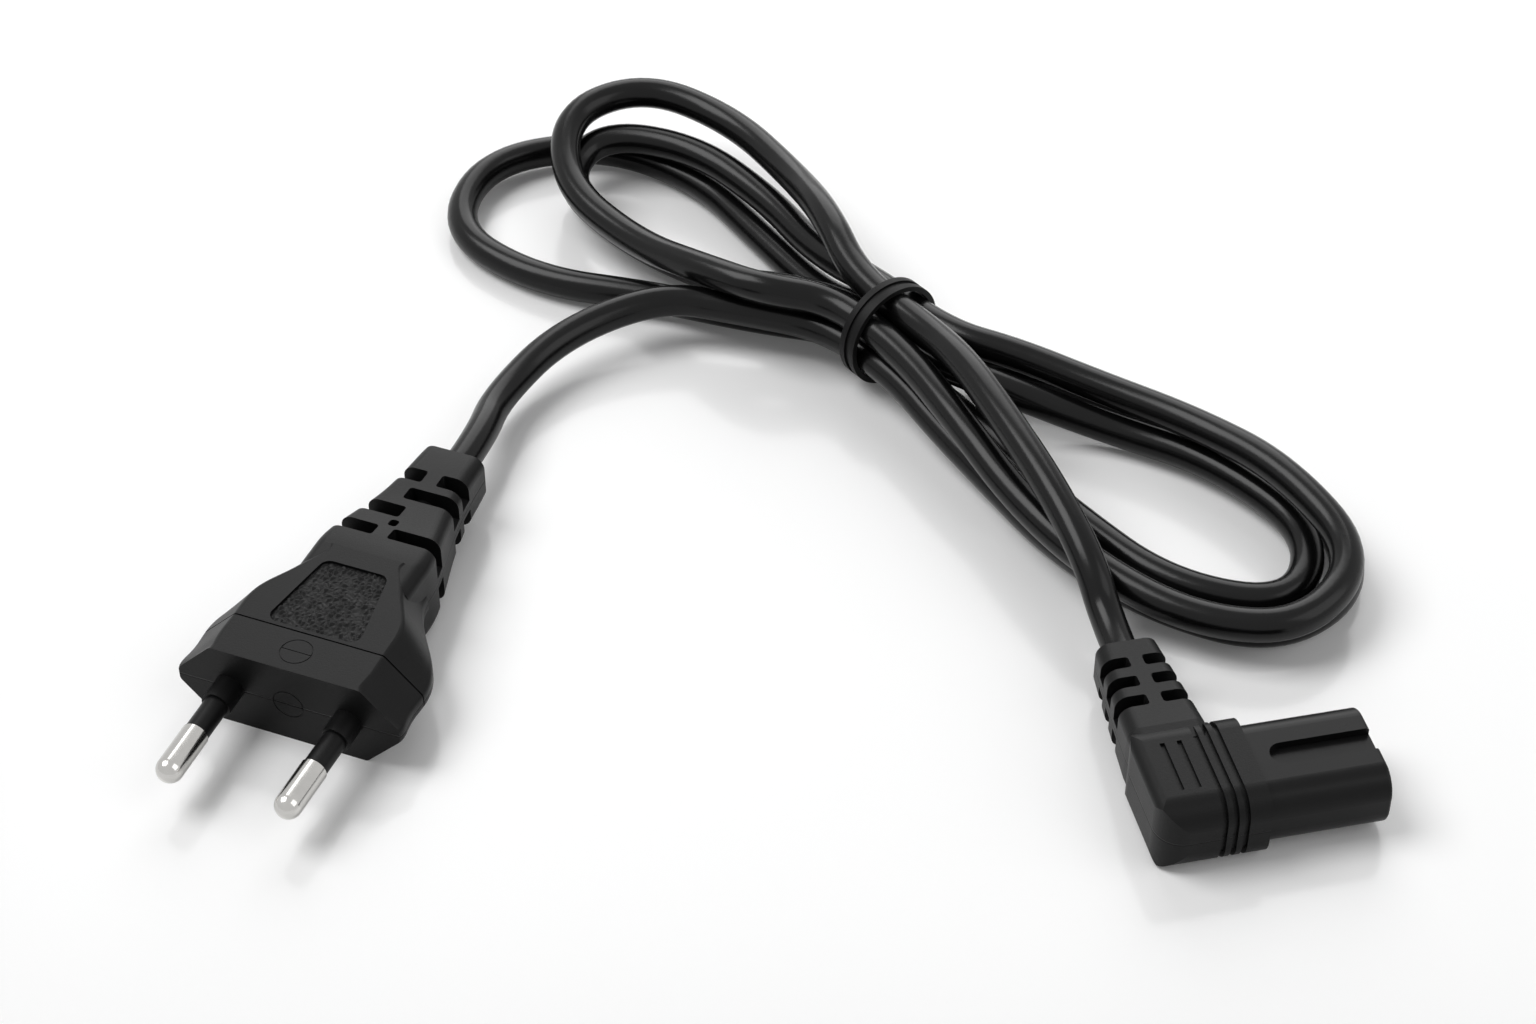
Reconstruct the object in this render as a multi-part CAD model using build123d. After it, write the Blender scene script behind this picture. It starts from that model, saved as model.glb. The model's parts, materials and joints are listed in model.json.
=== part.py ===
from build123d import *
import os
from math import cos, radians, sin, tan

# Two-pole power cord: a flat two-pin plug, a right-angle two-hole connector and
# one round cord, folded into three loops on each side of a band tie.
# Millimetres. +Z up. The origin is on the surface that the cord lies on, at the
# middle of the box round the plug, the connector and the tie.

# Cord
CORD_D = 5.1
CORE_D = 2.1            # one insulated core
COPPER_D = 1.1          # its bare conductor
CORE_PITCH = 2.5        # between the two cores inside the cord

# Pins of the plug, with standard sizes
PIN_D = 4.0
PIN_LENGTH = 19.0
PIN_PITCH = 18.6        # at the front face
PIN_LEAN = 0.6          # degrees: the pins close up towards their tips
PIN_SHANK_D = 3.2       # under the sleeve and inside the plug
PIN_FLANGE_D = 3.6
PIN_FLANGE = 1.0
SLEEVE_LENGTH = 9.9     # outside the plug
SLEEVE_D = 3.6
SLEEVE_COLLAR = 4.0     # length of the thicker part next to the front face
SLEEVE_COLLAR_D = 4.4

# Plug housing: local X across, Y back from the front face, Z up from mid-height
PLUG_AT = (-67.5, -31.2)
PLUG_TURN = -21.6       # degrees about Z
PLUG_HEIGHT = 13.7
PLUG_WIDTH = 34.6
PLUG_FLAT = 23.4        # width of the flat top at the front face
PLUG_EDGE = 2.1         # height of the upright part of each side
PLUG_ROUND = 1.2        # corner radius of the section
PLUG_BODY = 25.7        # length to the root of the strain relief
PLUG_RELIEF = 27.8      # length of the strain relief
PLUG_SEAM = 7.5         # seam across the body, from the front face
PLUG_SECTIONS = 9
PLUG_PROUD = 0.03       # what the loft stands proud before its flats are cut
WAIST_START = 0.35      # share of the body where its sides start to draw in
WAIST_LOSS = 8.2        # what each side loses by the back
WAIST_FLAT_START = 0.45
WAIST_FLAT_LOSS = 5.6   # what each half of the flat top loses
PLUG_RELIEF_ROOT = 5.2  # the strain relief grows out of the body's slanted sides
# Strain relief: share of its length, half width, half height
PLUG_RELIEF_FORM = [
    (0.00, 8.9, 6.70), (0.21, 8.3, 6.15), (0.38, 7.2, 5.45), (0.66, 5.7, 4.70), (1.00, 5.0, 4.05),
]
RELIEF_ROUND = 2.0
SPINE = 1.8             # height of the spine left along each side of a strain relief
RELIEF_WALL = 0.2       # left between the slots and the cord
SLOT_ROUND = 0.5        # corners of the slots

# Grip panel on the plug
PANEL_START = 8.2
PANEL_LENGTH = 14.1
PANEL_FRONT = 14.8
PANEL_BACK = 10.2
PANEL_ROUND = 1.6
PANEL_DEPTH = 0.45

# Moulding marks
SEAM = 0.25             # width of a seam line
SEAM_DEPTH = 0.25
MARK = 0.14             # line of a gate mark
MARK_DEPTH = 0.12
GATE_D = 4.8            # round gate mark
GATE_AT = 3.8           # from the front face

# Bridge inside the plug
BRIDGE = (25.0, 8.0, 6.0)
BRIDGE_START = 3.0
BRIDGE_ROUND = 1.0
CRIMP_D = 2.6
CRIMP_LENGTH = 5.0
CRIMP_GRIP = 4.0        # how far the conductor goes into the barrel
STRIP = 1.0             # bare conductor between the barrel and the core
CORE_LEAD = 2.5         # straight core before its first bend

# Connector: local X along the nose, Y away from the near side, Z up from mid-height
CONN_AT = (66.2, -50.2)
CONN_TURN = 12.5
CONN_HEIGHT = 11.8
CONN_LENGTH = 15.5      # elbow, from the collar's front face to its back
CONN_WIDTH = 18.2
CONN_NEAR = -4.2        # near side of the elbow
CONN_ROUND = 3.8        # round the section
CONN_CORNER = 4.0       # in plan
CONN_END_ROUND = 1.6
COLLAR = 3.1
COLLAR_GROOVE = 0.75
COLLAR_GROOVE_STEP = 1.55
COLLAR_GROOVES = 3
COLLAR_GROOVE_DEPTH = 0.5
TOP_SLOT = (0.7, 8.9, 0.4)
TOP_SLOT_FROM_BACK = 4.0
TOP_SLOT_STEP = 2.4

CONN_RELIEF_IN = 6.1    # strain relief axis, from the back of the elbow
CONN_RELIEF = 18.3
CONN_RELIEF_FORM = [(0.00, 5.7, 5.5), (0.22, 5.5, 5.1), (1.00, 4.5, 4.0)]
CONN_RELIEF_ROOT = 3.2
CONN_SLOT_FIRST = 4.5
CONN_SLOT = 2.2
CONN_SLOT_STEP = 4.1
CONN_SLOTS = 3
CONN_WEB = 2.0

# Nose of the connector
NOSE_LENGTH = 17.5
NOSE_WIDTH = 16.6
NOSE_HEIGHT = 10.0
NOSE_ROUND = 3.8
NOSE_TIP_ROUND = 0.5
NOSE_GROOVE = 3.9
NOSE_GROOVE_DEPTH = 1.2
NOSE_GROOVE_START = 2.5
CONTACT_PITCH = 8.6
CONTACT_BORE_D = 2.45
CONTACT_D = 3.0
CONTACT_ENTRY_D = 2.9    # lip that holds the contact in
LEAD_HOLE_D = 3.0
CONTACT_LENGTH = 12.5
CONTACT_BACK = 1.2      # from the nose's tip
CONTACT_SLIT = 0.5
CONTACT_SLIT_LENGTH = 7.0
CONTACT_CLEARANCE = 0.05
CONTACT_WEB = 1.5       # closed end of the contact tube
TAIL = (5.0, 14.5, 6.4)     # the insert's tail inside the elbow
TAIL_ROUND = 1.5

# Tie
TIE_AT = (18.5, 50.5)
TIE_TURN = -51.0
TIE_WIDTH = 3.2
TIE_WALL = 0.85
TIE_RIDGE = 1.1
TIE_GROOVE_DEPTH = 0.35
STRAND_RING = 5.2       # radius of the ring of strands round the middle one
TIE_CLEARANCE = 0.1

# Route of the cord: corners of the centre line, from the plug to the connector
ROUTE = [
    # out of the plug, over to the tie and through it
    (-47.79, 18.57, 6.85), (-44.48, 26.94, 6.85), (-43.0, 38.0, 5.0), (-33.5, 52.5, 6.5), (-17.5, 60.5, 8.0),
    (-5.0, 57.5, 7.5), (9.5, 54.1, 6.6), (20.2, 40.9, 6.6),
    # outer loop on the right, on the surface
    (26.0, 31.5, 5.0), (33.5, 20.5, 3.5), (42.5, 6.5, 2.6), (56.0, -7.0, 2.6), (73.5, -14.0, 2.6),
    (87.0, -2.0, 2.6), (83.0, 17.5, 2.6), (70.0, 30.5, 2.6), (55.0, 40.0, 2.6), (40.0, 47.5, 3.5),
    (27.1, 46.5, 5.7), (16.4, 59.8, 5.7),
    # long loop on the left, on the surface
    (8.5, 67.5, 2.6), (-1.5, 83.0, 2.6), (-12.5, 100.5, 2.6), (-30.0, 110.0, 3.0), (-49.0, 104.0, 3.5),
    (-54.0, 85.5, 2.6), (-39.0, 71.5, 2.6), (-19.0, 66.0, 3.5), (-2.5, 61.5, 2.6), (12.7, 56.8, 3.6),
    (23.4, 43.6, 3.6),
    # inner loop on the right, on the surface
    (30.5, 36.5, 2.6), (36.0, 26.0, 3.0), (45.0, 13.0, 3.0), (58.5, -2.5, 2.6), (76.5, -7.0, 2.6),
    (81.5, 8.0, 3.5), (68.5, 24.5, 3.5), (52.0, 33.5, 3.0), (36.0, 37.0, 8.0), (23.8, 43.9, 8.8),
    (13.2, 57.1, 8.8),
    # middle loop on the left
    (2.0, 62.5, 8.0), (-8.5, 70.5, 3.0), (-23.5, 82.0, 2.6), (-35.5, 96.0, 4.5), (-29.5, 106.0, 8.0),
    (-13.0, 101.0, 8.5), (-0.5, 87.5, 7.5), (7.5, 73.0, 7.5), (16.8, 60.1, 10.9), (27.5, 46.9, 10.9),
    # outer loop on the right, on top of the first
    (38.5, 43.0, 10.0), (50.5, 37.0, 8.5), (65.0, 28.0, 8.5), (77.0, 15.5, 10.0), (86.5, -2.5, 8.5),
    (76.5, -16.0, 7.0), (61.0, -14.0, 6.5), (47.0, -3.0, 7.0), (37.0, 10.5, 8.0), (29.0, 24.5, 11.0),
    (20.6, 41.2, 11.8), (9.9, 54.5, 11.8),
    # top loop on the left
    (-1.5, 54.5, 14.0), (-10.5, 61.5, 12.5), (-22.0, 73.5, 8.5), (-34.5, 89.0, 9.0), (-35.0, 105.5, 12.5),
    (-21.5, 112.5, 13.5), (-6.5, 104.0, 12.0), (3.5, 87.5, 12.5), (9.0, 71.0, 16.5), (13.6, 57.4, 13.9),
    (24.3, 44.2, 13.9),
    # over the loops and down to the connector
    (29.5, 33.5, 16.0), (34.5, 21.5, 16.0), (41.0, 6.5, 14.5), (46.0, -6.5, 11.5), (48.36, -13.16, 5.9),
    (50.2, -21.46, 5.9),
]
FIRST_PASS = 6          # the tie holds the run from this point: the plug lead ends in it
LAST_PASS = 73          # and this one: the connector lead starts in it
CUT_SHARE = 0.45        # share of the shorter run that a bend takes

# Worked out from the sizes above
CORD_R = CORD_D / 2
PLUG_Z = PLUG_HEIGHT / 2
PLUG_LENGTH = PLUG_BODY + PLUG_RELIEF
CONN_Z = CONN_HEIGHT / 2
NOSE_Y = CONN_NEAR + CONN_WIDTH / 2
CONN_RELIEF_X = CONN_RELIEF_IN - CONN_LENGTH
CONN_RELIEF_START = CONN_NEAR + CONN_WIDTH - 0.8
CONTACT_TIP = NOSE_LENGTH - CONTACT_BACK
CONTACT_END = CONTACT_TIP - CONTACT_LENGTH
CONN_BARREL_END = CONTACT_END - CRIMP_LENGTH
TIE_R = STRAND_RING + CORD_R + TIE_CLEARANCE
TIE_Z = TIE_R + TIE_WALL + 0.05

PLUG_PLACE = Location((PLUG_AT[0], PLUG_AT[1], PLUG_Z), (0, 0, PLUG_TURN))
CONN_PLACE = Location((CONN_AT[0], CONN_AT[1], CONN_Z), (0, 0, CONN_TURN))


def across(y):
    """Plane that stands across local Y, at y."""
    return Plane(origin=(0, y, 0), x_dir=(1, 0, 0), z_dir=(0, 1, 0))


def draw_in(share, start, loss):
    """Smooth loss from nothing at the start to all of it at the back."""
    reach = max(0.0, (share - start) / (1 - start))
    return loss * reach ** 2 * (3 - 2 * reach)


def body_section(share, inset):
    """Eight-sided section of the plug's body."""
    side = PLUG_WIDTH / 2 - draw_in(share, WAIST_START, WAIST_LOSS) - inset
    flat = PLUG_FLAT / 2 - draw_in(share, WAIST_FLAT_START, WAIST_FLAT_LOSS) - inset / 2
    top = PLUG_HEIGHT / 2 - inset + PLUG_PROUD
    edge = PLUG_EDGE / 2
    points = [(side, -edge), (side, edge), (flat, top), (-flat, top),
              (-side, edge), (-side, -edge), (-flat, -top), (flat, -top)]
    face = make_face(Polyline(*points, close=True))
    face = fillet(face.vertices(), PLUG_ROUND)
    return across(share * PLUG_BODY) * face


def plug_body(inset=0.0):
    """Body of the plug: a smooth loft, cut flat above and below."""
    last = PLUG_SECTIONS - 1
    body = loft([body_section(count / last, inset) for count in range(PLUG_SECTIONS)])
    return body & Box(2 * PLUG_WIDTH, 3 * PLUG_BODY, PLUG_HEIGHT - 2 * inset)


def relief(form, start, length, root):
    """Tapered strain relief with a rounded rectangular section and a straight root."""
    sections = []
    for share, half_width, half_height in form:
        face = RectangleRounded(2 * half_width, 2 * half_height, RELIEF_ROUND)
        sections.append(across(start + share * length) * face)
    return loft(sections) + extrude(sections[0], -root)


def relief_slot(x_low, x_high, y_low, y_high):
    """Slot above and below, down to the cord's sleeve and the side spines."""
    height = PLUG_HEIGHT
    slot = Pos((x_low + x_high) / 2, (y_low + y_high) / 2, 0) * Box(x_high - x_low, y_high - y_low, height)
    slot = fillet(slot.edges().filter_by(Axis.Z), SLOT_ROUND)
    slot -= Pos(0, (y_low + y_high) / 2, 0) * Box(PLUG_WIDTH, y_high - y_low, SPINE)
    sleeve = Cylinder(CORD_R + RELIEF_WALL, y_high - y_low, rotation=(90, 0, 0))
    return slot - Pos(0, (y_low + y_high) / 2, 0) * sleeve


def plug_slots():
    """Staggered slots: side of the middle, where the slot stops, and its two ends."""
    slots = [
        (-1, -1.7, 30.0, 32.6), (1, 0.7, 30.0, 32.6), (-1, -0.2, 35.5, 38.4), (1, -1.9, 40.2, 43.0),
        (-1, -1.1, 44.6, 47.4), (1, 1.3, 44.6, 47.4),
    ]
    cuts = []
    for side, stop, y_low, y_high in slots:
        outer = side * PLUG_WIDTH / 2
        cuts.append(relief_slot(min(stop, outer), max(stop, outer), y_low, y_high))
    cuts.append(relief_slot(-0.8, 0.6, 33.1, 34.7))
    return cuts


def seam_ring(outer, inner, y):
    """Shallow line round a moulding at y."""
    slab = Pos(0, y, 0) * Box(2 * PLUG_WIDTH, SEAM, 2 * PLUG_HEIGHT)
    return slab & (outer - inner)


def gate_mark():
    """Round gate mark with a line across it, as a cutter lying on Z = 0."""
    ring = Cylinder(GATE_D / 2, 2 * MARK_DEPTH) - Cylinder(GATE_D / 2 - MARK, 2 * MARK_DEPTH)
    return ring + Box(GATE_D - MARK, MARK, 2 * MARK_DEPTH)


def grip_panel():
    """Recess of the grip panel, as a cutter lying on Z = 0."""
    back = PANEL_START + PANEL_LENGTH
    points = [(-PANEL_FRONT / 2, PANEL_START), (PANEL_FRONT / 2, PANEL_START),
              (PANEL_BACK / 2, back), (-PANEL_BACK / 2, back)]
    face = make_face(Polyline(*points, close=True))
    face = fillet(face.vertices(), PANEL_ROUND)
    return extrude(face, PANEL_DEPTH, both=True)


def pin_place(side):
    """Where a pin leaves the front face, leaning towards the middle."""
    return Location((side * PIN_PITCH / 2, 0, 0), (0, 0, -side * PIN_LEAN))


def along_y(radius, y_low, y_high):
    """Round bar along local Y."""
    return extrude(across(y_low) * Circle(radius), y_high - y_low)


def pin(side):
    """Solid pin: bright tip, shank under the sleeve, flange and crimp barrel."""
    radius = PIN_D / 2
    tip = -PIN_LENGTH + radius
    bridge_end = BRIDGE_START + BRIDGE[1]
    body = along_y(radius, tip, -SLEEVE_LENGTH) + Pos(0, tip, 0) * Sphere(radius)
    body += along_y(PIN_SHANK_D / 2, -SLEEVE_LENGTH, bridge_end)
    body += along_y(PIN_FLANGE_D / 2, bridge_end, bridge_end + PIN_FLANGE)
    barrel_end = bridge_end + PIN_FLANGE + CRIMP_LENGTH
    body += along_y(CRIMP_D / 2, bridge_end + PIN_FLANGE, barrel_end)
    body -= along_y(COPPER_D / 2, barrel_end - CRIMP_GRIP, barrel_end)
    return pin_place(side) * body


def pin_sleeve(side):
    """Insulating sleeve, with its thicker part next to the front face."""
    sleeve = along_y(SLEEVE_D / 2, -SLEEVE_LENGTH, BRIDGE_START)
    sleeve += along_y(SLEEVE_COLLAR_D / 2, -SLEEVE_COLLAR, BRIDGE_START)
    sleeve -= along_y(PIN_SHANK_D / 2, -SLEEVE_LENGTH, BRIDGE_START)
    return pin_place(side) * sleeve


def bridge():
    """Hard insert that holds the pins at their pitch."""
    block = Pos(0, BRIDGE_START + BRIDGE[1] / 2, 0) * Box(*BRIDGE)
    block = fillet(block.edges().filter_by(Axis.Y), BRIDGE_ROUND)
    for side in (-1, 1):
        block -= pin(side)
        block -= pin_sleeve(side)
    return block


def bend_radii(points):
    """Radius of each bend: it takes CUT_SHARE of the shorter run beside it."""
    radii = []
    for before, corner, after in zip(points, points[1:], points[2:]):
        run_in = corner - before
        run_out = after - corner
        half_turn = radians(run_in.get_angle(run_out)) / 2
        radii.append(CUT_SHARE * min(run_in.length, run_out.length) / tan(half_turn))
    return radii


def tube(points, radius, bends):
    """Round bar along straight runs and tangent arcs."""
    path = FilletPolyline(*points, radius=bends)
    return sweep(Plane(origin=path @ 0, z_dir=path % 0) * Circle(radius), path=path)


def plug_core_points(side):
    """Centre line of a core, from its crimp barrel back to the cord."""
    barrel_end = BRIDGE_START + BRIDGE[1] + PIN_FLANGE + CRIMP_LENGTH
    x = side * CORE_PITCH / 2
    return [(pin_place(side) * Pos(0, barrel_end, 0)).position,
            (pin_place(side) * Pos(0, barrel_end + STRIP + CORE_LEAD, 0)).position,
            Vector(x, PLUG_BODY + CORE_LEAD, 0), Vector(x, PLUG_LENGTH, 0)]


def conn_core_points(side):
    """Centre line of a core, from its crimp barrel round to the cord."""
    y = NOSE_Y + side * CONTACT_PITCH / 2
    x = CONN_RELIEF_X + side * CORE_PITCH / 2
    return [Vector(CONN_BARREL_END, y, 0), Vector(x, y, 0), Vector(x, CONN_RELIEF_START + CONN_RELIEF, 0)]


def core_pieces(points, grip):
    """Insulated core, bared at its crimp end, and its conductor, which reaches into the barrel."""
    into = (points[0] - points[1]).normalized()
    bared = [points[0] - into * STRIP] + points[1:]
    bends = bend_radii(bared)
    core = tube(bared, CORE_D / 2, bends)
    copper = tube([points[0] + into * grip] + points[1:], COPPER_D / 2, bends)
    return core - copper, copper


def plug_housing(inside):
    """Plug overmoulding: body, strain relief, slots, grip panels and mould marks."""
    housing = plug_body()
    housing += relief(PLUG_RELIEF_FORM, PLUG_BODY, PLUG_RELIEF, PLUG_RELIEF_ROOT)
    housing -= seam_ring(plug_body(), plug_body(SEAM_DEPTH), PLUG_SEAM)
    for cut in plug_slots():
        housing -= cut
    for flip in (0, 180):
        housing -= Rot(0, flip, 0) * Pos(0, 0, PLUG_HEIGHT / 2) * grip_panel()
        housing -= Rot(0, flip, 0) * Pos(0, GATE_AT, PLUG_HEIGHT / 2) * gate_mark()
    housing -= Rot(90, 0, 0) * gate_mark()
    for piece in inside:
        housing -= piece
    return housing


def section_bar(start, end, width, height, corner):
    """Rounded bar along local X, centred on the nose's axis."""
    face = RectangleRounded(width, height, corner)
    return extrude(Plane(origin=(start, NOSE_Y, 0), x_dir=(0, 1, 0), z_dir=(1, 0, 0)) * face, end - start)


def ended_bar(length, width, corner):
    """Rectangle on local X from -length to 0, with its two back corners rounded."""
    face = Pos(-length / 2, 0, 0) * Rectangle(length, width)
    back = face.vertices().group_by(Axis.X)[0]
    return fillet(back, corner)


def elbow():
    """Right-angle body: the collar's section, rounded at the back in plan and from the side."""
    body = section_bar(-CONN_LENGTH, 0, CONN_WIDTH, CONN_HEIGHT, CONN_ROUND)
    plan = Pos(0, NOSE_Y, 0) * ended_bar(CONN_LENGTH, CONN_WIDTH, CONN_CORNER)
    body &= extrude(plan, CONN_HEIGHT, both=True)
    side = ended_bar(CONN_LENGTH, CONN_HEIGHT, CONN_END_ROUND)
    body &= Pos(0, NOSE_Y, 0) * Rot(90, 0, 0) * extrude(side, CONN_WIDTH, both=True)
    for count in range(COLLAR_GROOVES):
        start = -COLLAR - COLLAR_GROOVE - count * COLLAR_GROOVE_STEP
        ring = section_bar(start, start + COLLAR_GROOVE, 2 * CONN_WIDTH, 2 * CONN_HEIGHT, CONN_ROUND)
        depth = 2 * COLLAR_GROOVE_DEPTH
        ring -= section_bar(start, start + COLLAR_GROOVE, CONN_WIDTH - depth, CONN_HEIGHT - depth, CONN_ROUND)
        body -= ring
    width, length, depth = TOP_SLOT
    for count in range(2):
        x = -CONN_LENGTH + TOP_SLOT_FROM_BACK + count * TOP_SLOT_STEP
        for face in (-1, 1):
            body -= Pos(x, NOSE_Y, face * CONN_HEIGHT / 2) * Box(width, length, 2 * depth)
    return body


def conn_relief():
    """Strain relief of the connector, with its slots split by a web in the middle."""
    start = CONN_RELIEF_START
    body = relief(CONN_RELIEF_FORM, start, CONN_RELIEF, CONN_RELIEF_ROOT)
    for count in range(CONN_SLOTS):
        y_low = start + CONN_SLOT_FIRST + count * CONN_SLOT_STEP
        for low, high in ((-CONN_WIDTH, -CONN_WEB / 2), (CONN_WEB / 2, CONN_WIDTH)):
            body -= relief_slot(low, high, y_low, y_low + CONN_SLOT)
    return Pos(CONN_RELIEF_X, 0, 0) * body


def connector_housing(inside):
    """Connector overmoulding."""
    housing = elbow() + conn_relief()
    for piece in inside:
        housing -= piece
    return housing


def bore_bar(side, radius, start, end):
    """Round bar along a contact's axis."""
    plane = Plane(origin=(start, NOSE_Y + side * CONTACT_PITCH / 2, 0), x_dir=(0, 1, 0), z_dir=(1, 0, 0))
    return extrude(plane * Circle(radius), end - start)


def contact(side):
    """Slit contact tube with its crimp barrel."""
    radius = CONTACT_D / 2
    body = bore_bar(side, radius, CONTACT_END, CONTACT_TIP)
    body -= bore_bar(side, CONTACT_BORE_D / 2, CONTACT_END + CONTACT_WEB, CONTACT_TIP)
    slit = Box(2 * CONTACT_SLIT_LENGTH, CONTACT_D, CONTACT_SLIT)
    y = NOSE_Y + side * CONTACT_PITCH / 2
    body -= Pos(CONTACT_TIP, y, 0) * slit
    body += bore_bar(side, CRIMP_D / 2, CONN_BARREL_END, CONTACT_END)
    return body - bore_bar(side, COPPER_D / 2, CONN_BARREL_END, CONN_BARREL_END + CRIMP_GRIP)


def nose(side):
    """One half of the insert, round its own contact: nose, key grooves and the tail inside the elbow."""
    body = section_bar(0, NOSE_LENGTH, NOSE_WIDTH, NOSE_HEIGHT, NOSE_ROUND)
    body = fillet(body.faces().sort_by(Axis.X)[-1].edges(), NOSE_TIP_ROUND)
    groove_end = NOSE_GROOVE_START + NOSE_GROOVE / 2
    groove = Pos((groove_end + NOSE_LENGTH) / 2 + 1, 0, 0) * Box(
        NOSE_LENGTH - groove_end + 2, NOSE_GROOVE, 2 * NOSE_GROOVE_DEPTH)
    groove += Pos(groove_end, 0, 0) * Cylinder(NOSE_GROOVE / 2, 2 * NOSE_GROOVE_DEPTH)
    for face in (-1, 1):
        body -= Pos(0, NOSE_Y, face * NOSE_HEIGHT / 2) * groove
    body += tail()
    body &= Pos(0, NOSE_Y + side * NOSE_WIDTH, 0) * Box(3 * NOSE_LENGTH, 2 * NOSE_WIDTH, 2 * NOSE_HEIGHT)
    body -= bore_bar(side, CONTACT_ENTRY_D / 2, CONTACT_TIP, NOSE_LENGTH + 1)
    body -= bore_bar(side, LEAD_HOLE_D / 2, -TAIL[0], CONTACT_END)
    pocket = CONTACT_D / 2 + CONTACT_CLEARANCE
    return body - bore_bar(side, pocket, CONTACT_END - CONTACT_CLEARANCE, CONTACT_TIP + CONTACT_CLEARANCE)


def tail():
    """Part of the insert that the elbow is moulded round."""
    length, width, height = TAIL
    return section_bar(-length, 0, width, height, TAIL_ROUND)


def cord_tie():
    """Band with a ridge along each edge."""
    outer = TIE_R + TIE_WALL
    band = Cylinder(outer, TIE_WIDTH) - Cylinder(TIE_R, TIE_WIDTH)
    groove = TIE_WIDTH - 2 * TIE_RIDGE
    band -= Cylinder(outer + 1, groove) - Cylinder(outer - TIE_GROOVE_DEPTH, groove)
    turn = radians(TIE_TURN)
    place = Plane(origin=(*TIE_AT, TIE_Z), z_dir=(cos(turn), sin(turn), 0))
    return place * band


def cord_pieces():
    """The cord's three stretches, which meet face to face inside the tie."""
    points = [Vector(*point) for point in ROUTE]
    bends = bend_radii(points)
    first = (points[FIRST_PASS] + points[FIRST_PASS + 1]) * 0.5
    last = (points[LAST_PASS] + points[LAST_PASS + 1]) * 0.5
    plug_lead = tube(points[:FIRST_PASS + 1] + [first], CORD_R, bends[:FIRST_PASS])
    hank = tube([first] + points[FIRST_PASS + 1:LAST_PASS + 1] + [last], CORD_R, bends[FIRST_PASS:LAST_PASS])
    conn_lead = tube([last] + points[LAST_PASS + 1:], CORD_R, bends[LAST_PASS:])
    print("bend radii", [round(bend, 1) for bend in bends])
    return plug_lead, hank, conn_lead


def build():
    """All pieces by node name."""
    parts = {"plug_bridge": PLUG_PLACE * bridge()}
    plug_inside = [bridge()]
    conn_inside = []
    for side, name in ((-1, "left"), (1, "right")):
        own_pin = pin(side)
        sleeve = pin_sleeve(side)
        core, copper = core_pieces(plug_core_points(side), CRIMP_GRIP)
        parts["pin_" + name] = PLUG_PLACE * own_pin
        parts["pin_sleeve_" + name] = PLUG_PLACE * sleeve
        parts["plug_core_" + name] = PLUG_PLACE * core
        parts["plug_conductor_" + name] = PLUG_PLACE * copper
        plug_inside += [own_pin, sleeve, core, copper]
        core, copper = core_pieces(conn_core_points(side), CRIMP_GRIP)
        parts["contact_" + name] = CONN_PLACE * contact(side)
        parts["nose_" + name] = CONN_PLACE * nose(side)
        parts["connector_core_" + name] = CONN_PLACE * core
        parts["connector_conductor_" + name] = CONN_PLACE * copper
        conn_inside += [core, copper]
    parts["plug_housing"] = PLUG_PLACE * plug_housing(plug_inside)
    parts["connector_housing"] = CONN_PLACE * connector_housing([tail()] + conn_inside)
    parts["cord_tie"] = cord_tie()
    parts["cord_plug_lead"], parts["cord_hank"], parts["cord_connector_lead"] = cord_pieces()
    return parts


os.makedirs("parts", exist_ok=True)
for node, solid in build().items():
    export_step(solid, "parts/" + node + ".step")
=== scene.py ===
"""Power cord: flat two-pin plug, right-angle two-hole connector and a round cord in a band tie."""
from __future__ import annotations

import json
import logging
import math
from dataclasses import dataclass
from enum import Enum

import bpy
from mathutils import Matrix, Vector

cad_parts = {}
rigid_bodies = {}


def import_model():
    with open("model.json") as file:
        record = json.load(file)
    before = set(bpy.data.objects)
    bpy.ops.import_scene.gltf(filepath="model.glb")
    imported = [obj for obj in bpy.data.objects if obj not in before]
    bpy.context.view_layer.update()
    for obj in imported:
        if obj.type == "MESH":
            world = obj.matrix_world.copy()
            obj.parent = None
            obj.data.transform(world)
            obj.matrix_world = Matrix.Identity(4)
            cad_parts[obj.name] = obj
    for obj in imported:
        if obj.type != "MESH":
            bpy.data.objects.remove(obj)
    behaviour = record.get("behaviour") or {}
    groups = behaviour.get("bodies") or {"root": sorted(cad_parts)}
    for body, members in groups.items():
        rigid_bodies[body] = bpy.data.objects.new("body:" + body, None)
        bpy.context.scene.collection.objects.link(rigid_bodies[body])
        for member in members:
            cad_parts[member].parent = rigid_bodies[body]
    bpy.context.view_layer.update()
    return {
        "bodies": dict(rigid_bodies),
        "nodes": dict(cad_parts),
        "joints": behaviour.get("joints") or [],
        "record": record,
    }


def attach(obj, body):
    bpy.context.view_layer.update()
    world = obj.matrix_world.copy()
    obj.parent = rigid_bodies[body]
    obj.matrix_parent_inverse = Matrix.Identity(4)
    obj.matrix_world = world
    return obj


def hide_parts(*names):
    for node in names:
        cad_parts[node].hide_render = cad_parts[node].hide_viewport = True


LOG = logging.getLogger("power_cord")
MM = 0.001
Colour = tuple[float, float, float]
BROWN: Colour = (0.20, 0.08, 0.03)
BLUE: Colour = (0.03, 0.13, 0.42)
COPPER: Colour = (0.80, 0.42, 0.26)
BRASS: Colour = (0.82, 0.62, 0.28)
CREAM: Colour = (0.75, 0.73, 0.68)


class Side(Enum):
    """Which way a flat piece faces on the plug, as its turn about the plug's length."""

    TOP = 0.0
    UNDER = math.pi


def tint(colour: Colour, share: float) -> Colour:
    """Darken a colour to a share of itself."""
    return tuple(part * share for part in colour)


def near_black(level: float, blue: float) -> Colour:
    """Grey of a low level, with its blue part scaled."""
    return (level, level, level * blue)


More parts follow.
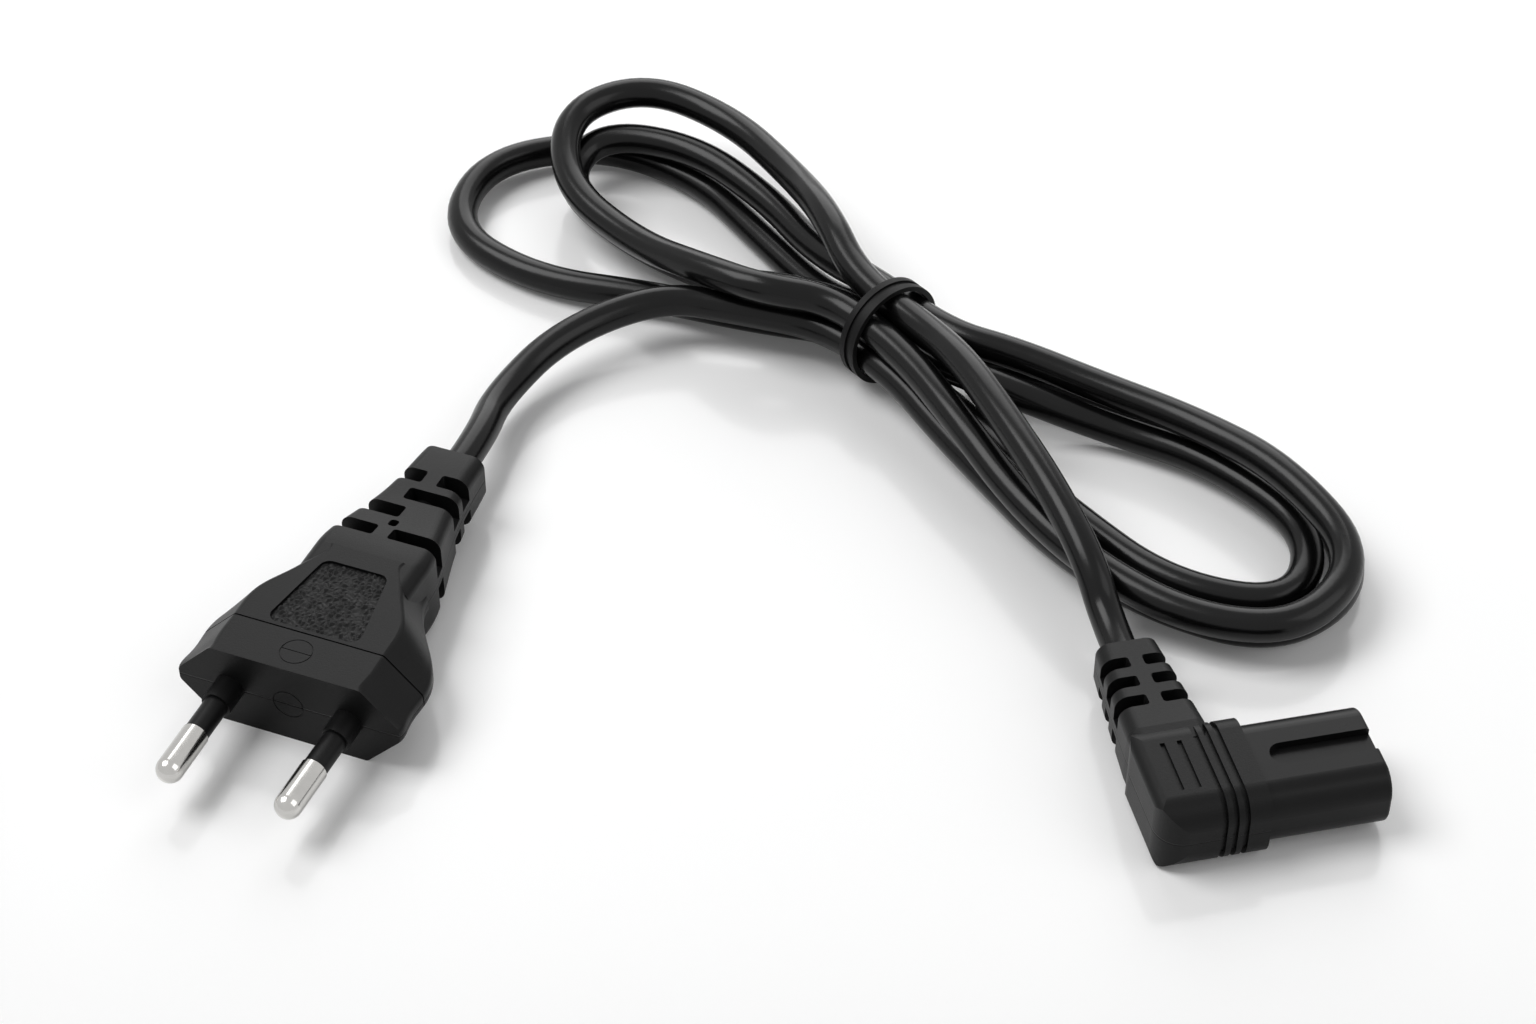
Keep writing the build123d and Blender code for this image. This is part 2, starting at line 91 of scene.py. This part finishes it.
class Link:
    """Builds the node tree of one material."""

    def __init__(self, name: str) -> None:
        """Start a material that holds a Principled shader and an output.

        Args:
            name: name of the material.
        """
        self.material = bpy.data.materials.new(name)
        self.material.use_nodes = True
        self.nodes = self.material.node_tree.nodes
        self.links = self.material.node_tree.links
        self.shader = self.nodes["Principled BSDF"]
        self.place = self.add("ShaderNodeTexCoord").outputs["Object"]

    def add(self, kind: str, **settings: object) -> bpy.types.Node:
        """Add a node.

        Args:
            kind: type of the node.
            settings: attributes to set on it.

        Returns:
            The new node.
        """
        node = self.nodes.new(kind)
        for key, value in settings.items():
            setattr(node, key, value)
        return node

    def join(self, source: bpy.types.NodeSocket, target: bpy.types.NodeSocket) -> None:
        """Link two sockets."""
        self.links.new(source, target)

    def noise(self, size: float, detail: float = 2.0, roughness: float = 0.5) -> bpy.types.NodeSocket:
        """Noise over the object.

        Args:
            size: size of one grain, in metres.
            detail: octaves of finer noise.
            roughness: weight of the finer octaves.

        Returns:
            The noise's value.
        """
        node = self.add("ShaderNodeTexNoise")
        self.join(self.place, node.inputs["Vector"])
        node.inputs["Scale"].default_value = 1.0 / size
        node.inputs["Detail"].default_value = detail
        node.inputs["Roughness"].default_value = roughness
        return node.outputs["Fac"]

    def span(self, value: bpy.types.NodeSocket, low: float, high: float) -> bpy.types.NodeSocket:
        """Map 0 to 1 on to a range.

        Args:
            value: the value to map.
            low: result at 0.
            high: result at 1.

        Returns:
            The mapped value.
        """
        node = self.add("ShaderNodeMapRange")
        self.join(value, node.inputs["Value"])
        node.inputs["To Min"].default_value = low
        node.inputs["To Max"].default_value = high
        return node.outputs["Result"]

    def math(self, operation: str, first: object, second: object) -> bpy.types.NodeSocket:
        """Combine two values.

        Args:
            operation: name of the Math node's operation.
            first: a socket or a number.
            second: a socket or a number.

        Returns:
            The result.
        """
        node = self.add("ShaderNodeMath", operation=operation)
        for value, socket in zip((first, second), node.inputs):
            if isinstance(value, (int, float)):
                socket.default_value = value
            else:
                self.join(value, socket)
        return node.outputs["Value"]

    def height_above_floor(self) -> bpy.types.NodeSocket:
        """Read how high the shaded point is.

        Returns:
            The height, in metres.
        """
        split = self.add("ShaderNodeSeparateXYZ")
        self.join(self.place, split.inputs["Vector"])
        return split.outputs["Z"]

    def bump(self, height: bpy.types.NodeSocket, depth: float) -> None:
        """Press a height pattern into the surface, on top of what is there.

        Args:
            height: the pattern, from 0 to 1.
            depth: depth of the pattern, in metres.
        """
        node = self.add("ShaderNodeBump")
        node.inputs["Distance"].default_value = depth
        node.inputs["Strength"].default_value = 1.0
        self.join(height, node.inputs["Height"])
        normal = self.shader.inputs["Normal"]
        if normal.is_linked:
            self.join(normal.links[0].from_socket, node.inputs["Normal"])
        self.join(node.outputs["Normal"], normal)

    def shade(self, low: Colour, high: Colour, fac: bpy.types.NodeSocket) -> None:
        """Vary the base colour between two shades.

        Args:
            low: colour at 0.
            high: colour at 1.
            fac: where between the two.
        """
        mix = self.add("ShaderNodeMix", data_type="RGBA")
        self.join(fac, mix.inputs["Factor"])
        mix.inputs["A"].default_value = (*low, 1.0)
        mix.inputs["B"].default_value = (*high, 1.0)
        self.join(mix.outputs["Result"], self.shader.inputs["Base Color"])


@dataclass(frozen=True)
class MouldedBlack:
    """Black moulded plastic with a spark-eroded grain and a parting line."""

    name: str
    shade: float = 0.005
    roughness: float = 0.4
    specular: float = 0.16
    blue: float = 1.02
    dark: float = 0.85
    pale: float = 1.2
    cloud_size: float = 0.006
    cloud_rough: float = 0.04
    grain: float = 0.00026
    grain_depth: float = 0.00002
    grain_rough: float = 0.03
    parting: float | None = None
    parting_width: float = 0.00016
    parting_depth: float = 0.00006

    def build(self) -> bpy.types.Material:
        """Make the material.

        Returns:
            The material.
        """
        link = Link(self.name)
        cloud = link.noise(self.cloud_size, 3.0)
        fine = link.noise(self.grain, 3.0, 0.6)
        low = near_black(self.shade * self.dark, self.blue)
        high = near_black(self.shade * self.pale, self.blue)
        link.shade(low, high, cloud)
        broad = link.span(cloud, self.roughness - self.cloud_rough, self.roughness + self.cloud_rough)
        rough = link.math("ADD", broad, link.span(fine, -self.grain_rough, self.grain_rough))
        link.join(rough, link.shader.inputs["Roughness"])
        link.shader.inputs["Specular IOR Level"].default_value = self.specular
        link.bump(fine, self.grain_depth)
        if self.parting is not None:
            away = link.math("ABSOLUTE", link.math("SUBTRACT", link.height_above_floor(), self.parting), 0.0)
            groove = link.math("MINIMUM", link.math("DIVIDE", away, self.parting_width), 1.0)
            link.bump(groove, self.parting_depth)
        return link.material


@dataclass(frozen=True)
class PlatedPin:
    """Bright nickel plate with faint turning marks."""

    name: str = "pin_nickel"
    colour: Colour = (0.62, 0.61, 0.59)
    dark: float = 0.9
    smoothest: float = 0.09
    roughest: float = 0.19
    cloud_size: float = 0.0015
    turning: float = 0.00012
    turning_depth: float = 0.0000012

    def build(self) -> bpy.types.Material:
        """Make the material.

        Returns:
            The material.
        """
        link = Link(self.name)
        cloud = link.noise(self.cloud_size)
        fine = link.noise(self.turning)
        link.shade(tint(self.colour, self.dark), self.colour, cloud)
        link.shader.inputs["Metallic"].default_value = 1.0
        link.join(link.span(cloud, self.smoothest, self.roughest), link.shader.inputs["Roughness"])
        link.bump(fine, self.turning_depth)
        return link.material


@dataclass(frozen=True)
class BareMetal:
    """Unplated brass or copper, hidden inside the mouldings."""

    name: str
    colour: Colour
    dark: float = 0.75
    smoothest: float = 0.22
    roughest: float = 0.38
    cloud_size: float = 0.001

    def build(self) -> bpy.types.Material:
        """Make the material.

        Returns:
            The material.
        """
        link = Link(self.name)
        cloud = link.noise(self.cloud_size, 3.0)
        link.shade(tint(self.colour, self.dark), self.colour, cloud)
        link.shader.inputs["Metallic"].default_value = 1.0
        link.join(link.span(cloud, self.smoothest, self.roughest), link.shader.inputs["Roughness"])
        return link.material


@dataclass(frozen=True)
class CoreInsulation:
    """Coloured soft plastic of an insulated core, or the bridge's hard plastic."""

    name: str
    colour: Colour
    dark: float = 0.9
    smoothest: float = 0.35
    roughest: float = 0.45
    cloud_size: float = 0.002

    def build(self) -> bpy.types.Material:
        """Make the material.

        Returns:
            The material.
        """
        link = Link(self.name)
        cloud = link.noise(self.cloud_size)
        link.shade(tint(self.colour, self.dark), self.colour, cloud)
        link.join(link.span(cloud, self.smoothest, self.roughest), link.shader.inputs["Roughness"])
        return link.material


@dataclass(frozen=True)
class CordJacket:
    """Satin black extruded jacket with a faint skin."""

    name: str = "cord_jacket"
    shade: float = 0.0035
    specular: float = 0.24
    blue: float = 1.03
    dark: float = 0.85
    pale: float = 1.15
    smoothest: float = 0.18
    roughest: float = 0.27
    cloud_size: float = 0.004
    cloud_depth: float = 0.00003
    skin: float = 0.00035
    skin_depth: float = 0.000005
    skin_rough: float = 0.02

    def build(self) -> bpy.types.Material:
        """Make the material.

        Returns:
            The material.
        """
        link = Link(self.name)
        cloud = link.noise(self.cloud_size, 3.0)
        fine = link.noise(self.skin, 2.0, 0.6)
        low = near_black(self.shade * self.dark, self.blue)
        high = near_black(self.shade * self.pale, self.blue)
        link.shade(low, high, cloud)
        broad = link.span(cloud, self.smoothest, self.roughest)
        rough = link.math("ADD", broad, link.span(fine, -self.skin_rough, self.skin_rough))
        link.join(rough, link.shader.inputs["Roughness"])
        link.shader.inputs["Specular IOR Level"].default_value = self.specular
        link.bump(fine, self.skin_depth)
        link.bump(cloud, self.cloud_depth)
        return link.material


def select_only(piece: bpy.types.Object) -> None:
    """Make one object the selected and active one.

    Args:
        piece: the object.
    """
    bpy.ops.object.select_all(action="DESELECT")
    piece.select_set(True)
    bpy.context.view_layer.objects.active = piece


def dress(piece: bpy.types.Object, material: bpy.types.Material) -> None:
    """Give a piece one material.

    Args:
        piece: the object.
        material: the material.
    """
    if not piece.material_slots:
        piece.data.materials.append(material)
    for slot in piece.material_slots:
        slot.material = material


def dress_node(frame: dict, node: str, material: bpy.types.Material) -> None:
    """Give a node of the frame one material.

    Args:
        frame: the loaded frame.
        node: name of the node.
        material: the material.
    """
    dress(frame["nodes"][node], material)
    LOG.info("dressed %s", node)


@dataclass
class Studio:
    """Camera, floor, lamps and world."""

    aim: tuple[float, float, float] = (-0.0005, 0.0170, 0.0)
    distance: float = 0.48493
    elevation: float = 41.597
    lens: float = 74.575
    sensor: float = 36.0
    floor_size: float = 6.0
    floor_colour: Colour = (0.96, 0.96, 0.96)
    floor_dark: float = 0.99
    floor_cloud: float = 0.3
    floor_roughness: float = 0.16
    floor_specular: float = 0.4
    floor_lift: float = 0.06
    world_light: float = 0.2

    def build(self) -> None:
        """Set up everything that isn't the object."""
        self.add_camera()
        self.add_floor()
        self.add_lamps()
        self.add_world()
        bpy.context.scene.view_settings.view_transform = "Standard"

    def seen_rays(self, nodes: bpy.types.Nodes, links: bpy.types.NodeLinks) -> bpy.types.NodeSocket:
        """Tell the rays that show the background, straight or in metal and glass, from those that light.

        Args:
            nodes: nodes of the tree to add to.
            links: its links.

        Returns:
            1 for such a ray and 0 for another.
        """
        path = nodes.new("ShaderNodeLightPath")
        seen = path.outputs["Is Camera Ray"]
        for kind in ("Is Glossy Ray", "Is Transmission Ray"):
            either = nodes.new("ShaderNodeMath")
            either.operation = "MAXIMUM"
            links.new(seen, either.inputs[0])
            links.new(path.outputs[kind], either.inputs[1])
            seen = either.outputs["Value"]
        return seen

    def add_camera(self) -> None:
        """Place the camera where the photograph was taken from."""
        tilt = math.radians(self.elevation)
        back = Vector((0.0, -math.cos(tilt), math.sin(tilt))) * self.distance
        bpy.ops.object.camera_add(location=Vector(self.aim) + back, rotation=(math.pi / 2 - tilt, 0.0, 0.0))
        camera = bpy.context.object
        camera.data.lens = self.lens
        camera.data.sensor_fit = "HORIZONTAL"
        camera.data.sensor_width = self.sensor
        camera.data.clip_start = 0.01
        bpy.context.scene.camera = camera

    def add_floor(self) -> None:
        """Lay a pale, slightly glossy floor."""
        bpy.ops.mesh.primitive_plane_add(size=self.floor_size, location=(0.0, 0.0, 0.0))
        floor = bpy.context.object
        floor.name = "floor"
        link = Link("floor_white")
        link.shade(tint(self.floor_colour, self.floor_dark), self.floor_colour, link.noise(self.floor_cloud))
        link.shader.inputs["Roughness"].default_value = self.floor_roughness
        link.shader.inputs["Specular IOR Level"].default_value = self.floor_specular
        seen = self.seen_rays(link.nodes, link.links)
        link.shader.inputs["Emission Color"].default_value = (1.0, 1.0, 1.0, 1.0)
        link.join(link.math("MULTIPLY", seen, self.floor_lift), link.shader.inputs["Emission Strength"])
        dress(floor, link.material)

    def add_lamps(self) -> None:
        """Hang three soft boxes: a key over the left, a fill on the right and one behind."""
        lamps = [
            ("key", (-1.10, 0.20, 1.70), 1.2, 25.0),
            ("fill", (1.50, -0.50, 1.30), 1.5, 8.0),
            ("back", (0.10, 1.90, 1.20), 1.6, 17.0),
        ]
        for name, place, size, power in lamps:
            bpy.ops.object.light_add(type="AREA", location=place)
            lamp = bpy.context.object
            lamp.name = name
            lamp.data.shape = "SQUARE"
            lamp.data.size = size
            lamp.data.energy = power
            lamp.rotation_euler = (Vector(self.aim) - Vector(place)).to_track_quat("-Z", "Y").to_euler()

    def add_world(self) -> None:
        """Light the object evenly from all round, and show plain white behind it and in its metal."""
        world = bpy.data.worlds.new("studio")
        bpy.context.scene.world = world
        world.use_nodes = True
        nodes = world.node_tree.nodes
        links = world.node_tree.links
        light = nodes["Background"]
        light.inputs["Color"].default_value = (1.0, 1.0, 1.0, 1.0)
        light.inputs["Strength"].default_value = self.world_light
        seen = nodes.new("ShaderNodeBackground")
        seen.inputs["Strength"].default_value = 1.0
        mix = nodes.new("ShaderNodeMixShader")
        links.new(self.seen_rays(nodes, links), mix.inputs["Fac"])
        links.new(light.outputs["Background"], mix.inputs[1])
        links.new(seen.outputs["Background"], mix.inputs[2])
        links.new(mix.outputs["Shader"], nodes["World Output"].inputs["Surface"])


@dataclass
class Plug:
    """Two-pin plug: dresses its nodes and fits the pebbled grip panels."""

    frame: dict
    face_from_mounts: float = 13.45 * MM
    height: float = 13.7 * MM
    panel_start: float = 8.2 * MM
    panel_length: float = 14.1 * MM
    panel_front: float = 14.8 * MM
    panel_back: float = 10.2 * MM
    panel_round: float = 1.6 * MM
    panel_depth: float = 0.45 * MM
    panel_gap: float = 0.2 * MM
    panel_lift: float = 0.2 * MM
    pebble: float = 0.0009
    pebble_height: float = 0.0004
    pebble_contrast: float = 2.2
    smooth_below: float = math.radians(50)
    grid: int = 190
    corner_cuts: int = 6

    def build(self) -> None:
        """Dress the plug's nodes and build its own pieces."""
        black = MouldedBlack("plug_black", parting=self.height / 2).build()
        dress_node(self.frame, "plug_housing", black)
        sleeve = MouldedBlack("sleeve_black", roughness=0.36, grain=0.0004, grain_depth=0.000004).build()
        nickel = PlatedPin().build()
        copper = BareMetal("conductor_copper", COPPER).build()
        cores = {"left": CoreInsulation("core_brown", BROWN).build(),
                 "right": CoreInsulation("core_blue", BLUE).build()}
        dress_node(self.frame, "plug_bridge", CoreInsulation("bridge_cream", CREAM).build())
        for name, core in cores.items():
            dress_node(self.frame, "pin_" + name, nickel)
            dress_node(self.frame, "pin_sleeve_" + name, sleeve)
            dress_node(self.frame, "plug_core_" + name, core)
            dress_node(self.frame, "plug_conductor_" + name, copper)
        grip = MouldedBlack("grip_black", roughness=0.42, grain=0.00012, grain_depth=0.00001).build()
        for side in Side:
            self.add_grip(side, grip)

    def local(self) -> Matrix:
        """Frame of the plug: X across, Y back from the front face, Z up from mid-height.

        Returns:
            The matrix that takes plug coordinates to the frame's.
        """
        mounts = {mount["name"]: mount for mount in self.frame["record"]["mounts"]}
        left = mounts["pin_left"]
        right = mounts["pin_right"]
        middle = (Vector(left["pos_m"]) + Vector(right["pos_m"])) / 2
        back = -(Vector(left["axis"]) + Vector(right["axis"])).normalized()
        face = middle + back * self.face_from_mounts
        up = Vector((0.0, 0.0, 1.0))
        turn = Matrix((back.cross(up), back, up)).transposed().to_4x4()
        return Matrix.Translation(face) @ turn

    def outline_planes(self) -> list[tuple[Vector, Vector]]:
        """Planes that trim a sheet to the panel's outline.

        Returns:
            Pairs of a point and an outward normal.
        """
        gap = self.panel_gap
        low = self.panel_start + gap
        high = self.panel_start + self.panel_length - gap
        front = self.panel_front / 2 - gap
        back = self.panel_back / 2 - gap
        corners = [Vector((x, y, 0.0)) for x, y in ((front, low), (back, high), (-back, high), (-front, low))]
        planes = []
        for index, corner in enumerate(corners):
            before = (corners[index - 1] - corner).normalized()
            after = (corners[(index + 1) % 4] - corner).normalized()
            half = before.angle(after) / 2
            centre = corner + (before + after).normalized() * self.panel_round / math.sin(half)
            first = Vector((-before.y, before.x, 0.0))
            last = Vector((after.y, -after.x, 0.0))
            for cut in range(self.corner_cuts + 1):
                normal = first.slerp(last, cut / self.corner_cuts)
                planes.append((centre + normal * self.panel_round, normal))
        return planes

    def add_grip(self, side: Side, material: bpy.types.Material) -> None:
        """Seat a pebbled panel in its recess.

        Args:
            side: top or underside.
            material: its finish.
        """
        middle = self.panel_start + self.panel_length / 2
        bpy.ops.object.select_all(action="DESELECT")
        bpy.ops.mesh.primitive_grid_add(x_subdivisions=self.grid, y_subdivisions=self.grid,
                                        size=self.panel_front, location=(0.0, middle, 0.0))
        panel = bpy.context.object
        panel.name = "grip_panel_" + side.name.lower()
        bpy.ops.object.transform_apply(location=True, rotation=True, scale=True)
        bpy.ops.object.mode_set(mode="EDIT")
        for point, normal in self.outline_planes():
            bpy.ops.mesh.select_all(action="SELECT")
            bpy.ops.mesh.bisect(plane_co=point, plane_no=normal, clear_outer=True)
        bpy.ops.object.mode_set(mode="OBJECT")
        self.raise_pebbles(panel)
        self.close_under(panel)
        height = self.height / 2 - self.panel_depth + self.panel_lift
        turn = Matrix.Rotation(side.value, 4, "Y")
        panel.data.transform(self.local() @ turn @ Matrix.Translation((0.0, 0.0, height)))
        select_only(panel)
        bpy.ops.object.shade_smooth_by_angle(angle=self.smooth_below)
        dress(panel, material)
        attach(panel, "root")
        LOG.info("built %s with %d faces", panel.name, len(panel.data.polygons))

    def raise_pebbles(self, panel: bpy.types.Object) -> None:
        """Raise rounded cells with narrow gaps between them.

        Args:
            panel: the trimmed sheet.
        """
        pebbles = bpy.data.textures.new("pebbles", type="VORONOI")
        pebbles.noise_scale = self.pebble
        pebbles.weight_1 = -1.0
        pebbles.weight_2 = 1.0
        pebbles.noise_intensity = self.pebble_contrast
        raised = panel.modifiers.new("pebbles", "DISPLACE")
        raised.texture = pebbles
        raised.texture_coords = "LOCAL"
        raised.mid_level = 0.5
        raised.strength = self.pebble_height
        bpy.ops.object.modifier_apply(modifier=raised.name)

    def close_under(self, panel: bpy.types.Object) -> None:
        """Give the sheet its rim and underside.

        Args:
            panel: the displaced sheet.
        """
        select_only(panel)
        bpy.ops.object.mode_set(mode="EDIT")
        bpy.ops.mesh.select_mode(type="EDGE")
        bpy.ops.mesh.select_all(action="DESELECT")
        bpy.ops.mesh.select_non_manifold()
        bpy.ops.mesh.extrude_region_move(TRANSFORM_OT_translate={"value": (0.0, 0.0, -self.panel_lift)})
        bpy.ops.transform.resize(value=(1.0, 1.0, 0.0), center_override=(0.0, 0.0, -self.panel_lift))
        bpy.ops.mesh.edge_face_add()
        bpy.ops.mesh.select_all(action="SELECT")
        bpy.ops.mesh.normals_make_consistent(inside=False)
        bpy.ops.object.mode_set(mode="OBJECT")


@dataclass
class Connector:
    """Right-angle connector: dresses its nodes."""

    frame: dict
    mid_height: float = 5.9 * MM

    def build(self) -> None:
        """Dress the connector's nodes."""
        black = MouldedBlack("connector_black", parting=self.mid_height).build()
        dress_node(self.frame, "connector_housing", black)
        smooth = MouldedBlack("nose_black", shade=0.006, roughness=0.3, grain=0.0005, grain_depth=0.000004)
        nose = smooth.build()
        brass = BareMetal("contact_brass", BRASS).build()
        copper = BareMetal("connector_copper", COPPER).build()
        cores = {"left": CoreInsulation("connector_blue", BLUE).build(),
                 "right": CoreInsulation("connector_brown", BROWN).build()}
        for name, core in cores.items():
            dress_node(self.frame, "nose_" + name, nose)
            dress_node(self.frame, "contact_" + name, brass)
            dress_node(self.frame, "connector_core_" + name, core)
            dress_node(self.frame, "connector_conductor_" + name, copper)


@dataclass
class Cord:
    """The cord, one smooth line from the plug to the connector."""

    diameter: float = 5.1 * MM
    length: float = 1.262
    replaced: tuple[str, ...] = ("cord_plug_lead", "cord_hank", "cord_connector_lead")
    steps: int = 10
    ring: int = 7
    route: tuple[tuple[float, float, float], ...] = (
        # out of the plug, over to the tie and through it
        (-0.04779, 0.01857, 0.00685), (-0.04448, 0.02694, 0.00685), (-0.043, 0.038, 0.005),
        (-0.0335, 0.0525, 0.0065), (-0.0175, 0.0605, 0.008), (-0.005, 0.0575, 0.0075),
        (0.0095, 0.0541, 0.0066), (0.0202, 0.0409, 0.0066),
        # outer loop on the right, on the surface
        (0.026, 0.0315, 0.005), (0.0335, 0.0205, 0.0035), (0.0425, 0.0065, 0.0026),
        (0.056, -0.007, 0.0026), (0.0735, -0.014, 0.0026), (0.087, -0.002, 0.0026),
        (0.083, 0.0175, 0.0026), (0.07, 0.0305, 0.0026), (0.055, 0.04, 0.0026),
        (0.04, 0.0475, 0.0035), (0.0271, 0.0465, 0.0057), (0.0164, 0.0598, 0.0057),
        # long loop on the left, on the surface
        (0.0085, 0.0675, 0.0026), (-0.0015, 0.083, 0.0026), (-0.0125, 0.1005, 0.0026),
        (-0.03, 0.11, 0.003), (-0.049, 0.104, 0.0035), (-0.054, 0.0855, 0.0026),
        (-0.039, 0.0715, 0.0026), (-0.019, 0.066, 0.0035), (-0.0025, 0.0615, 0.0026),
        (0.0127, 0.0568, 0.0036), (0.0234, 0.0436, 0.0036),
        # inner loop on the right, on the surface
        (0.0305, 0.0365, 0.0026), (0.036, 0.026, 0.003), (0.045, 0.013, 0.003),
        (0.0585, -0.0025, 0.0026), (0.0765, -0.007, 0.0026), (0.0815, 0.008, 0.0035),
        (0.0685, 0.0245, 0.0035), (0.052, 0.0335, 0.003), (0.036, 0.037, 0.008),
        (0.0238, 0.0439, 0.0088), (0.0132, 0.0571, 0.0088),
        # middle loop on the left
        (0.002, 0.0625, 0.008), (-0.0085, 0.0705, 0.003), (-0.0235, 0.082, 0.0026),
        (-0.0355, 0.096, 0.0045), (-0.0295, 0.106, 0.008), (-0.013, 0.101, 0.0085),
        (-0.0005, 0.0875, 0.0075), (0.0075, 0.073, 0.0075), (0.0168, 0.0601, 0.0109),
        (0.0275, 0.0469, 0.0109),
        # outer loop on the right, on top of the first
        (0.0385, 0.043, 0.01), (0.0505, 0.037, 0.0085), (0.065, 0.028, 0.0085),
        (0.077, 0.0155, 0.01), (0.0865, -0.0025, 0.0085), (0.0765, -0.016, 0.007),
        (0.061, -0.014, 0.0065), (0.047, -0.003, 0.007), (0.037, 0.0105, 0.008),
        (0.029, 0.0245, 0.011), (0.0206, 0.0412, 0.0118), (0.0099, 0.0545, 0.0118),
        # top loop on the left
        (-0.0015, 0.0545, 0.014), (-0.0105, 0.0615, 0.0125), (-0.022, 0.0735, 0.0085),
        (-0.0345, 0.089, 0.009), (-0.035, 0.1055, 0.0125), (-0.0215, 0.1125, 0.0135),
        (-0.0065, 0.104, 0.012), (0.0035, 0.0875, 0.0125), (0.009, 0.071, 0.0165),
        (0.0136, 0.0574, 0.0139), (0.0243, 0.0442, 0.0139),
        # over the loops and down to the connector
        (0.0295, 0.0335, 0.016), (0.0345, 0.0215, 0.016), (0.041, 0.0065, 0.0145),
        (0.046, -0.0065, 0.0115), (0.04836, -0.01316, 0.0059), (0.0502, -0.02146, 0.0059),
    )

    def build(self) -> None:
        """Lay the cord along its route."""
        bpy.ops.object.select_all(action="DESELECT")
        bpy.ops.curve.primitive_nurbs_path_add(location=(0.0, 0.0, 0.0))
        cord = bpy.context.object
        cord.name = "cord"
        curve = cord.data
        curve.splines.clear()
        spline = curve.splines.new("NURBS")
        spline.points.add(len(self.route) - 1)
        for point, place in zip(spline.points, self.route):
            point.co = (*place, 1.0)
        spline.order_u = 3
        spline.use_endpoint_u = True
        curve.dimensions = "3D"
        curve.resolution_u = self.steps
        curve.bevel_depth = self.diameter / 2
        curve.bevel_resolution = self.ring
        curve.use_fill_caps = True
        dress(cord, CordJacket().build())
        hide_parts(*self.replaced)
        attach(cord, "root")
        LOG.info("built %s", cord.name)


@dataclass
class Tie:
    """Band that holds the folded cord: dresses its node."""

    frame: dict

    def build(self) -> None:
        """Dress the band."""
        dress_node(self.frame, "cord_tie", MouldedBlack("tie_black", roughness=0.5, grain=0.0003).build())


def main() -> None:
    """Build the scene round the fixed frame."""
    logging.basicConfig(level=logging.INFO, format="%(message)s")
    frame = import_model()
    Studio().build()
    Cord().build()
    Plug(frame).build()
    Connector(frame).build()
    Tie(frame).build()


if __name__ == "__main__":
    main()
